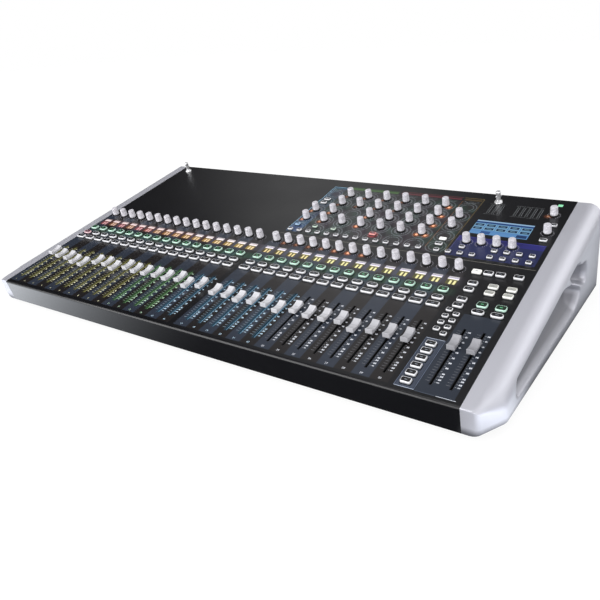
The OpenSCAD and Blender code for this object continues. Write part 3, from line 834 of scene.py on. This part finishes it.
# Knobs
# Soft-touch light grey caps with shallow flutes and a rounded top, pushed on their shafts over a dark collar.
# The collar is a real part, made wide and black to stand also as painted contact shadow round each knob's
# foot, and the tops are painted a darker grey as shade.
def arc(cx, cy, r, start, end, steps):
    """Points of an arc in a profile, with angles in degrees."""
    turns = [radians(start + (end - start) * i / steps) for i in range(steps + 1)]
    return [(cx + r * cos(a), cy + r * sin(a)) for a in turns]


knob_h = 16.4
knob_top = [(r, z, 0) for r, z in arc(4.3, knob_h - 1.3, 1.3, 0, 90, 5)]
knob_foot = [(r, z, 0) for r, z in arc(4.7, 2.9, 1.4, -80, -10, 4)]
knob_wall = [(6.15, 3.8, 0), (6.2, 4.4, 1), (5.85, 13.4, 1), (5.75, 14.2, 0)]
knob_dish = [(2.8, knob_h - 0.1, 0), (0.2, knob_h - 0.2, 0)]
knob_profile = [(0.2, 1.5, 0)] + knob_foot + knob_wall + knob_top + knob_dish
collar_profile = [(0.2, 0.4), (7.0, 0.4), (7.25, 0.6), (7.25, 1.3), (6.9, 1.7), (5.4, 1.9), (0.2, 1.9)]
shaft_profile = [(0.1, -7.0), (3.0, -7.0), (3.0, 1.0), (0.1, 1.0)]
knob_cap = lathe("knob_cap", knob_profile, sides=80, flute=0.5, flutes=20, smooth=50)
knob_collar = lathe("knob_collar", collar_profile, sides=32)
knob_shaft = lathe("knob_shaft", shaft_profile, sides=16)
knob_grey = Finish("knob_soft_grey")
_, _, w = panel_axes(knob_grey)
wear = knob_grey.noise(520.0, 2.0).fade(0.3, 0.7)
skin = knob_grey.mix(wear, colour("bebcc4"), colour("e8e6ec"))
# Painted shade: the top face is painted a darker grey than the sides.
knob_grey.surface(Base_Color=knob_grey.over(skin, (w.fade(15.4, 16.2) * 0.4, "a8a6ae")),
                  Roughness=0.42 + 0.1 * wear,
                  Normal=knob_grey.bump(knob_grey.noise(2200.0), 0.25, 0.00002))
# The black collar also stands as the painted contact shadow round the knob's foot.
collar_and_shadow_black = coat("knob_collar_and_shadow_black", "08080a", 0.6)
for node, middles in knob_middles.items():
    spots = [spot(m.x, m.y, turn=0.17 * i) for i, m in enumerate(middles)]
    caps = copies(node + "_caps", knob_cap, spots, knob_grey)
    copies(node + "_collars", knob_collar, spots, collar_and_shadow_black)
    copies(node + "_shafts", knob_shaft, spots, bright_steel)
    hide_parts(node)
shaft_end = -6.4
screen_shaft = lathe("screen_knob_shaft", [(r, max(z, shaft_end)) for r, z in shaft_profile], sides=16)
for node, m in zip(screen_knob_names, screen_knob_middles):
    body = node.replace("screen_knob", "screen_encoder")
    caps = copies(node + "_cap", knob_cap, [spot(m.x, m.y)], knob_grey, body)
    copies(node + "_collar", knob_collar, [spot(m.x, m.y)], collar_and_shadow_black, body)
    copies(node + "_shaft", screen_shaft, [spot(m.x, m.y)], bright_steel, body)
    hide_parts(node)

# Lamps beside the knobs
# A small amber lamp shows in the ring of each knob that is in use, and lights the sheet round it.
amber = ink("amber_lamp", 1.2, colour("201008"))
bead = lathe("lamp_bead", [(2.2, 0.0), (2.1, 0.4), (1.6, 0.8), (0.7, 1.0), (0.05, 1.0)], sides=14)
channel_levels = {17: 0.3, 18: 0.25, 19: 0.3, 20: 0.35, 21: 0.6, 22: 1.0, 23: 0.6}
in_use = [(knob_middles["channel_knobs"][i], -1, level) for i, level in channel_levels.items()]
for m in knob_middles["section_knobs"]:
    if m.y < 400 and (440 < m.x < 520 or 550 < m.x < 580):
        in_use.append((m, -1, 1.0 if m.x > 540 and m.y < 360 else 0.5))
    elif m.x < 640 and m.y > 400:
        in_use.append((m, -1, 0.14))
    if 660 < m.x < 700:
        in_use.append((m, 1, 1.0))
        if m.y < 360:
            in_use.append((m, -1, 1.0))
    if 850 < m.x and m.y > 430:
        in_use.append((m, -1, 0.3))
amber_spots = [(m.x + side * 7.6, m.y - 5.4, level) for m, side, level in in_use]
copies("amber_lamps", bead, [spot(a, b, tone=colour("ffb890", level)) for a, b, level in amber_spots],
       amber)
halo_rings = [(9.0, 0.0), (6.6, 0.14), (4.4, 0.45), (2.6, 0.85), (0.02, 1.0)]
halo = lathe("lamp_halo", [(r, 0.05) for r, _ in halo_rings], sides=20)
fade = halo.attributes.new("fade", "FLOAT", "POINT")
for i, vertex in enumerate(halo.vertices):
    reach = sqrt(vertex.co.x ** 2 + vertex.co.y ** 2)
    fade.data[i].value = min(halo_rings, key=lambda row: abs(row[0] - reach))[1]
amber_spill = ink("amber_spill", 0.7, colour("100804"))
share = amber_spill.node("Attribute", {"attribute_name": "fade"}, out="Fac")
amber_spill.surface(Alpha=share * 0.9)
copies("amber_spill", halo, [spot(a, b, tone=colour("f08c58", level)) for a, b, level in amber_spots],
       amber_spill)

# Faders
# Each cap is a moulded saddle, raised at both ends, with a scored line across its middle. It is pressed on a
# flat steel lever that stands on the carriage.
cap_w = 11.2
cap_l = 24.6
cap_low = 3.4
cap_mid = 7.5
cap_rise = 3.2
carriage = [(-5.2, 5.2), (-8.0, 8.0), (-16.5, -10.5)]
lever = [(-1.0, 1.0), (-3.0, 3.0), (-10.5, cap_low + 0.4)]


def fader_mesh(name):
    """Cap, scored line, lever and carriage of one fader about its own middle, with four finishes."""
    bm = bmesh.new()
    steps = 16
    profile = [(-cap_l / 2, cap_low), (cap_l / 2, cap_low)]
    for i in range(steps + 1):
        s = 1 - 2 * i / steps
        profile.append((s * (cap_l / 2 - 0.8), cap_mid + cap_rise * s * s))
    sides = []
    for x in (-cap_w / 2, cap_w / 2):
        sides.append([bm.verts.new((x, y, z)) for y, z in profile])
    count = len(profile)
    bm.faces.new(sides[0])
    bm.faces.new(list(reversed(sides[1])))
    for i in range(count):
        j = (i + 1) % count
        bm.faces.new((sides[0][i], sides[1][i], sides[1][j], sides[0][j]))
    bmesh.ops.recalc_face_normals(bm, faces=bm.faces)
    sharp = [e for e in bm.edges if e.calc_face_angle(0) > radians(35)]
    bmesh.ops.bevel(bm, geom=sharp, offset=0.8, segments=3, profile=0.6, affect="EDGES")
    for face in bm.faces:
        face.smooth = True
    blocks = [(lever, 2), (carriage, 3), ([(-5.0, 5.0), (-0.25, 0.25), (cap_mid - 0.25, cap_mid + 0.04)], 1)]
    for (xs, ys, zs), finish in blocks:
        made = bmesh.ops.create_cube(bm, size=1.0)["verts"]
        for vertex in made:
            vertex.co = Vector(((xs[0] + xs[1]) / 2 + vertex.co.x * (xs[1] - xs[0]),
                                (ys[0] + ys[1]) / 2 + vertex.co.y * (ys[1] - ys[0]),
                                (zs[0] + zs[1]) / 2 + vertex.co.z * (zs[1] - zs[0])))
        for face in {f for vertex in made for f in vertex.link_faces}:
            face.material_index = finish
    mesh = bpy.data.meshes.new(name)
    bm.to_mesh(mesh)
    bm.free()
    mesh.set_sharp_from_angle(angle=radians(50))
    return mesh


cap_white_with_shade = coat("fader_cap_white_with_shade", "c8c8cd", 0.42, grain=2200.0, depth=0.00002)
# Painted shade: the caps are painted darker grey towards the right end of the panel, where less light falls
# on them.
u, _, _ = panel_axes(cap_white_with_shade)
cap_white_with_shade.surface(Base_Color=cap_white_with_shade.mix(u.fade(600.0, 890.0), colour("c8c8cd"), colour("8c8c92")))
score_grey = coat("fader_score_line", "94949a", 0.6)
carriage_black = coat("fader_carriage", "1c1c1e", 0.5)
for node in fader_names + main_names:
    m = middle(slider_box[node])
    mesh = fader_mesh(node + "_cap")
    mesh.transform(on_panel @ Matrix.Translation((m.x, m.y, 0)))
    for finish in (cap_white_with_shade, score_grey, bright_steel, carriage_black):
        mesh.materials.append(finish.material)
    cap = fit(node + "_cap", mesh, node + "_slider")
    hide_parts(node)

# End cheeks
# Moulded ends in silver metallic paint, a mirrored pair: a flat band level with the panel, a broad rounded
# edge, and in the side a long hand groove that widens to the rear, with a finger pocket behind a thin lip.
cheek_w = 40.0
top_r = 25.0
rear_r = 12.0
foot_r = 6.0
edge_r = 1.6
corner_start_r = 8.0
front_w = 20.5
slant_l = 40.5
slant = atan2(slant_l, cheek_w - front_w)
front_bend = 8.0
front_bend_u = front_w - front_bend * tan(slant / 2)
side_bend = 20.0
side_bend_v = slant_l + side_bend * tan(pi / 4 - slant / 2)
groove_ends = np.array([[cheek_w + 2, 88, -29], [cheek_w + 18, 348, -59]])
groove_r = (14.0, 43.5)
pocket_at = np.array([cheek_w + 4, 393, -66])
pocket_r = 25.0
lip_square = np.array([0.567, 0.824])
lip_at = 154.5
lip_h = 12.5
lip_r = 4.6
hollow_blend = 16.0
groove_edge = 3.2


def smooth_max(a, b, blend):
    """The larger of two fields, rounded where they cross."""
    near = np.maximum(blend - np.abs(a - b), 0)
    return np.maximum(a, b) + near * near / (4 * blend)


def groove_depth(points):
    """How far points lie inside the hand groove or the finger pocket, with the lip between them."""
    run = groove_ends[1] - groove_ends[0]
    along = np.clip(((points - groove_ends[0]) @ run) / (run @ run), 0, 1)
    axis = groove_ends[0] + along[:, None] * run
    groove = groove_r[0] + along * (groove_r[1] - groove_r[0]) - np.linalg.norm(points - axis, axis=1)
    from_lip = points[:, 1:] @ lip_square - lip_at
    pocket = pocket_r - np.linalg.norm(points - pocket_at, axis=1) - 4 * np.maximum(-from_lip, 0)
    return smooth_max(groove, pocket, hollow_blend) - lip_h * np.exp(-(from_lip / lip_r) ** 2)


def drop(depth, r):
    """How far a round edge falls at a depth in from the outline."""
    inside = np.clip(r - depth, 0, r)
    return r - np.sqrt(r * r - inside * inside)


def upper_surface(at_u, at_v):
    """Height of the cheek's top: an edge round its outline, crisp in front and broad along the side."""
    along = ((at_u - front_w) * cos(slant) + at_v * sin(slant)) / np.hypot(slant_l, cheek_w - front_w)
    share = np.clip(along, 0, 1)
    corner_edge = corner_start_r + (top_r - corner_start_r) * share * share * (3 - 2 * share)
    corner_depth = at_v * cos(slant) - (at_u - front_w) * sin(slant)
    falls = [drop(np.full_like(at_u, at_v), edge_r), drop(cheek_w - at_u, top_r),
             drop(corner_depth, corner_edge)]
    rear = np.hypot(np.maximum(at_u - cheek_w + rear_r, 0), max(at_v - panel_l + rear_r, 0))
    return -np.maximum(sum(f ** 3 for f in falls) ** (1 / 3), drop(rear_r - rear, edge_r))


def cheek_reach(at_v):
    """How far out the side is at a place along the cheek: flat front, slanted corner, side and round rear."""
    if at_v < front_bend * (1 - cos(slant)):
        return front_bend_u + sqrt(front_bend ** 2 - (front_bend - at_v) ** 2)
    if at_v < side_bend_v - side_bend * cos(slant):
        return front_w + at_v / tan(slant)
    if at_v < side_bend_v:
        return cheek_w - side_bend + sqrt(side_bend ** 2 - (side_bend_v - at_v) ** 2)
    if at_v > panel_l - rear_r:
        return cheek_w - rear_r + sqrt(max(0, rear_r ** 2 - (at_v - panel_l + rear_r) ** 2))
    return cheek_w


def cheek_section(at_v):
    """The cheek's outline across at a place along it: top, round edge, side, foot and inner face."""
    reach = cheek_reach(at_v)
    round_u = min(top_r, reach - 2)
    top_u = np.concatenate([np.linspace(0, reach - round_u, 8)[:-1],
                            reach - round_u + round_u * np.sin(np.linspace(0, pi / 2, 26))])
    top_w = upper_surface(top_u, at_v)
    low = -case_h - at_v * tan(tilt)
    wall_w = np.linspace(top_w[-1], low + foot_r, 110)[1:]
    wall_u = np.full_like(wall_w, reach)
    turn = np.linspace(0, pi / 2, 8)[1:]
    bend = min(foot_r, reach - 2)
    foot_u = reach - bend + bend * np.cos(turn)
    foot_w = low + foot_r - foot_r * np.sin(turn)
    inner = np.linspace(reach - bend, 0, 6)[1:]
    u_line = np.concatenate([top_u, wall_u, foot_u, inner])
    w_line = np.concatenate([top_w, wall_w, foot_w, np.full_like(inner, low)])
    return u_line, w_line


def ramp(value, start, end):
    """From 0 at start to 1 at end, and level beyond them."""
    return np.clip((value - start) / (end - start), 0, 1)


def painted_shade(at_v, w_line, cut_in):
    """Painted shade: how much darker the paint is made in the groove and the pocket, and a little towards the
    foot and the rear end, where shade falls.
    """
    before_lip = lip_at - at_v * lip_square[0] - w_line * lip_square[1]
    over_foot = case_h + at_v * tan(tilt) + w_line
    hollow_shade = ramp(cut_in, 1, 10) * (ramp(before_lip, 0, 16) + 0.85 * ramp(-before_lip, 0, 11))
    foot = 0.75 * ramp(over_foot, 34, 2) * ramp(at_v, 60, 180)
    rear = 0.5 * ramp(at_v, 430, 505) * ramp(-w_line, top_r, top_r + 20)
    return np.maximum(hollow_shade, np.maximum(foot, rear))


def cheek_mesh(name, side):
    """The cheek lofted through its sections, with the groove found along each point's line to the inside."""
    turns = np.linspace(0, pi / 2, 18)
    stations = np.concatenate([edge_r * (1 - np.cos(np.linspace(0, pi / 2, 6)[:-1])),
                               np.linspace(edge_r, side_bend_v, 34),
                               np.linspace(side_bend_v, 290, 110)[1:], np.linspace(290, 440, 130)[1:],
                               np.linspace(440, panel_l - rear_r, 24)[1:-1],
                               panel_l - edge_r - (rear_r - edge_r) * (1 - np.sin(turns)),
                               panel_l - edge_r * (1 - np.sin(np.linspace(0, pi / 2, 6)[1:]))])
    rings = []
    painted_shades = []
    for at_v in stations:
        full_u, w_line = cheek_section(at_v)
        low_u = np.zeros_like(full_u)
        high_u = full_u.copy()
        for _ in range(30):
            mid = (low_u + high_u) / 2
            here = np.stack([mid, np.full_like(mid, at_v), w_line], 1)
            outside = smooth_max(mid - full_u, groove_depth(here), groove_edge) > 0
            high_u = np.where(outside, mid, high_u)
            low_u = np.where(outside, low_u, mid)
        near = groove_depth(np.stack([full_u, np.full_like(full_u, at_v), w_line], 1)) > -groove_edge
        grooved = (full_u > cheek_w - top_r + 4) & near
        u_line = np.where(grooved, high_u, full_u)
        painted_shades += list(painted_shade(at_v, w_line, full_u - u_line))
        rings.append([(side * a, at_v, b) for a, b in zip(u_line, w_line)])
    mesh = loft(name, rings, 32)
    mesh.attributes.new("shade", "FLOAT", "POINT").data.foreach_set("value", painted_shades)
    return mesh


cheek_silver = Finish("cheek_silver_paint")
flake = cheek_silver.noise(5200.0, 2.0)
cloud = cheek_silver.noise(7.0, 4.0)
# Painted shade: the paint is darkened by the shade attribute in the groove, the pocket and towards the foot
# and the rear end, and it turns near black in a narrow band along the foot.
shade = cheek_silver.node("Attribute", {"attribute_name": "shade"}, out="Fac")
foot_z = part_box("right_cheek")[0].z
height = cheek_silver.node("SeparateXYZ", {}, cheek_silver.place(), out=2)
paint = cheek_silver.over(cheek_silver.mix(flake, colour("b2b2bc"), colour("cecfd7")),
                          (height.fade(foot_z + 0.012, foot_z + 0.003) * 0.8, "2c2c32"),
                          (shade * 0.78, "46464e"))
cheek_silver.surface(Base_Color=paint, Metallic=0.4, Roughness=0.36 + 0.08 * cloud,
                     Coat_Weight=0.15, Coat_Roughness=0.25,
                     Normal=cheek_silver.bump(flake, 0.06, 0.00002))
for node, side, at_u in (("left_cheek", -1, 0.0), ("right_cheek", 1, panel_w)):
    mesh = cheek_mesh(node + "_moulding", side)
    mesh.transform(on_panel @ Matrix.Translation((at_u, 0, 0)))
    mesh.materials.append(cheek_silver.material)
    moulding = fit(node + "_moulding", mesh)
    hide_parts(node)

# Studio
# A wide pale floor, a soft even sky and five large soft lamps, seen with the photograph's lens. Three soft
# boxes and some glow on the floor show only in reflections.
floor = bpy.data.objects.new("floor", bpy.data.meshes.new("floor"))
reach = 12.0
floor.data.from_pydata([(-reach, -reach, 0), (reach, -reach, 0), (reach, reach, 0), (-reach, reach, 0)], [],
                       [(0, 1, 2, 3)])
bpy.context.scene.collection.objects.link(floor)
floor_white = Finish("floor_white")
seen, mirrored, through = floor_white.path("Camera", "Glossy", "Transmission")
floor_white.surface(Base_Color=colour("dcdcdc"), Roughness=0.9, Specular_IOR_Level=0.0)
x, y = [floor_white.node("SeparateXYZ", {}, floor_white.place(), out=i) for i in range(2)]
far = (x * x + y * y).fade(0.5, 2.2)
left_share = x.fade(0.05, -0.5)
near_front = y.fade(-0.1, -0.24)
beside = x.fade(0.482, 0.525) * x.fade(1.2, 0.8) * (0.55 + 0.25 * y.fade(0.0, 0.35))
side_glow = beside + 3.0 * x.fade(0.433, 0.52) * y.fade(-0.1, -0.22)
spread = 1 - seen - mirrored - through
reflected = 0.04 + 2.0 * left_share * left_share * near_front + side_glow
cool_white = (0.9, 0.94, 1.0, 1.0)
glow = floor_white.node("Emission", {}, Color=floor_white.mix(mirrored, white, cool_white),
                        Strength=1.12 * (seen + through) + 2.0 * spread * far + mirrored * reflected)
shown = floor_white.node("MixShader", {}, seen * (0.8 + 0.2 * far) + mirrored + through + 0.5 * spread,
                         Signal(floor_white, floor_white.shader.outputs[0]), glow)
floor_white.tree.links.new(shown.socket, floor_white.tree.nodes["Material Output"].inputs["Surface"])
floor.data.materials.append(floor_white.material)

world = bpy.data.worlds.new("studio")
bpy.context.scene.world = world
world.use_nodes = True
sky = Nodes(world.node_tree)
seen, mirrored, through = sky.path("Camera", "Glossy", "Transmission")
way = sky.node("TexCoord", {}, out="Generated")
reflected = 1 - 0.97 * sky.node("SeparateXYZ", {}, way, out=2).fade(0.0, 0.18)
soft_boxes = [((-0.51, 0.58, 0.635), (0.9765, 0.996), 1.05), ((0.87, 0.15, 0.47), (0.8, 0.93), 1.5),
              ((-0.27, 0.485, 0.83), (0.94, 0.99), 0.2)]
for towards, rim, strength in soft_boxes:
    facing = sky.node("VectorMath", {"operation": "DOT_PRODUCT"}, way, towards, out="Value")
    reflected = reflected + strength * facing.fade(*rim)
background = world.node_tree.nodes["Background"]
sky.feed(background.inputs["Color"], white)
sky.feed(background.inputs["Strength"], seen + through + mirrored * reflected
         + 0.22 * (1 - seen - mirrored - through))

lamps = [("left_light", (-1.25, -2.2, 0.95), 2.4, 84), ("right_light", (1.6, -1.55, 0.95), 1.2, 22),
         ("edge_light", (1.8, 1.85, 1.15), 1.3, 9), ("top_light", (0.1, -0.3, 2.3), 1.2, 14),
         ("back_light", (1.3, 1.3, 2.05), 1.7, 11)]
for name, where, size, power in lamps:
    data = bpy.data.lights.new(name, "AREA")
    data.size = size
    data.energy = power
    lamp_object = bpy.data.objects.new(name, data)
    lamp_object.location = where
    lamp_object.rotation_euler = (Vector((0, 0, 0.08)) - Vector(where)).to_track_quat("-Z", "Y").to_euler()
    bpy.context.scene.collection.objects.link(lamp_object)

camera = bpy.data.objects.new("camera", bpy.data.cameras.new("camera"))
eye = Vector((1103.1, -468.3, 514.3))
bearing = 34.793
look_down = 23.192
roll = -3.345
camera.matrix_world = (Matrix.Translation(on_panel @ eye) @ Matrix.Rotation(radians(bearing), 4, "Z")
                       @ Matrix.Rotation(radians(90 - look_down), 4, "X")
                       @ Matrix.Rotation(radians(roll), 4, "Z"))
camera.data.sensor_width = 36.0
camera.data.lens = 37.752
camera.data.shift_x = -1 / 30
bpy.context.scene.collection.objects.link(camera)
bpy.context.scene.camera = camera
bpy.context.scene.view_settings.view_transform = "Standard"
